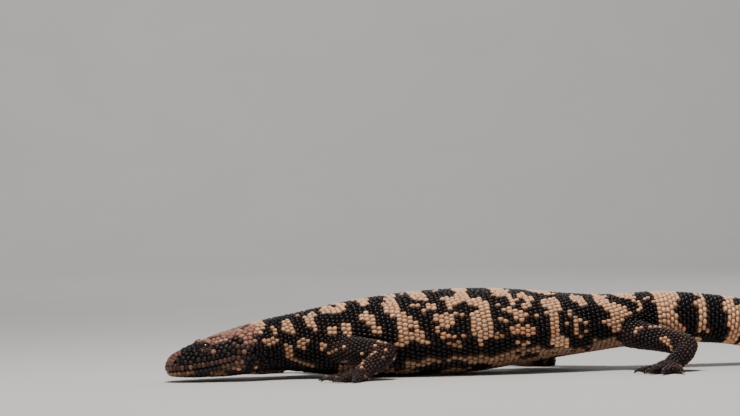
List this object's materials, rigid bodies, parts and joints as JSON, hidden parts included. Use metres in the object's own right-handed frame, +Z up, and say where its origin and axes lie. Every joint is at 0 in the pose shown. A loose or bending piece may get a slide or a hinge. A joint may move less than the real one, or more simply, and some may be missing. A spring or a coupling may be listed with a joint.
{
  "type": "gila monster",
  "caption": "Life-size still model of a gila monster walking low, with a broad head, heavy banded tail, and separate limbs, claws and eyes.",
  "frame": {"origin": "on the floor under the middle of the animal's bounding box", "axes": "+X runs from the head to the tail, +Y to the animal's right, +Z up"},
  "size_m": [0.472, 0.1668, 0.0567],
  "materials": {
    "pale_hide": "satin beaded skin, cream to salmon blotches",
    "dark_hide": "satin beaded skin, near black",
    "belly_hide": "smooth flat belly scales",
    "claw_horn": "dark horn",
    "eye": "wet gloss"
  },
  "bodies": {
    "root": {"belly": "pale_hide", "chest": "pale_hide", "eye_left": "eye", "eye_right": "eye", "front_left_claw_1": "claw_horn", "front_left_claw_2": "claw_horn", "front_left_claw_3": "claw_horn", "front_left_claw_4": "claw_horn", "front_left_claw_5": "claw_horn", "front_left_foot": "dark_hide", "front_left_lower_leg": "dark_hide", "front_left_upper_leg": "dark_hide", "front_right_claw_1": "claw_horn", "front_right_claw_2": "claw_horn", "front_right_claw_3": "claw_horn", "front_right_claw_4": "claw_horn", "front_right_claw_5": "claw_horn", "front_right_foot": "dark_hide", "front_right_lower_leg": "dark_hide", "front_right_upper_leg": "dark_hide", "head": "dark_hide", "hind_left_claw_1": "claw_horn", "hind_left_claw_2": "claw_horn", "hind_left_claw_3": "claw_horn", "hind_left_claw_4": "claw_horn", "hind_left_claw_5": "claw_horn", "hind_left_foot": "dark_hide", "hind_left_lower_leg": "dark_hide", "hind_left_upper_leg": "dark_hide", "hind_right_claw_1": "claw_horn", "hind_right_claw_2": "claw_horn", "hind_right_claw_3": "claw_horn", "hind_right_claw_4": "claw_horn", "hind_right_claw_5": "claw_horn", "hind_right_foot": "dark_hide", "hind_right_lower_leg": "dark_hide", "hind_right_upper_leg": "dark_hide", "hips": "pale_hide", "lower_jaw": "belly_hide", "neck": "pale_hide", "tail_base": "pale_hide", "tail_middle": "pale_hide", "tail_tip": "pale_hide"}
  },
  "joints": []
}
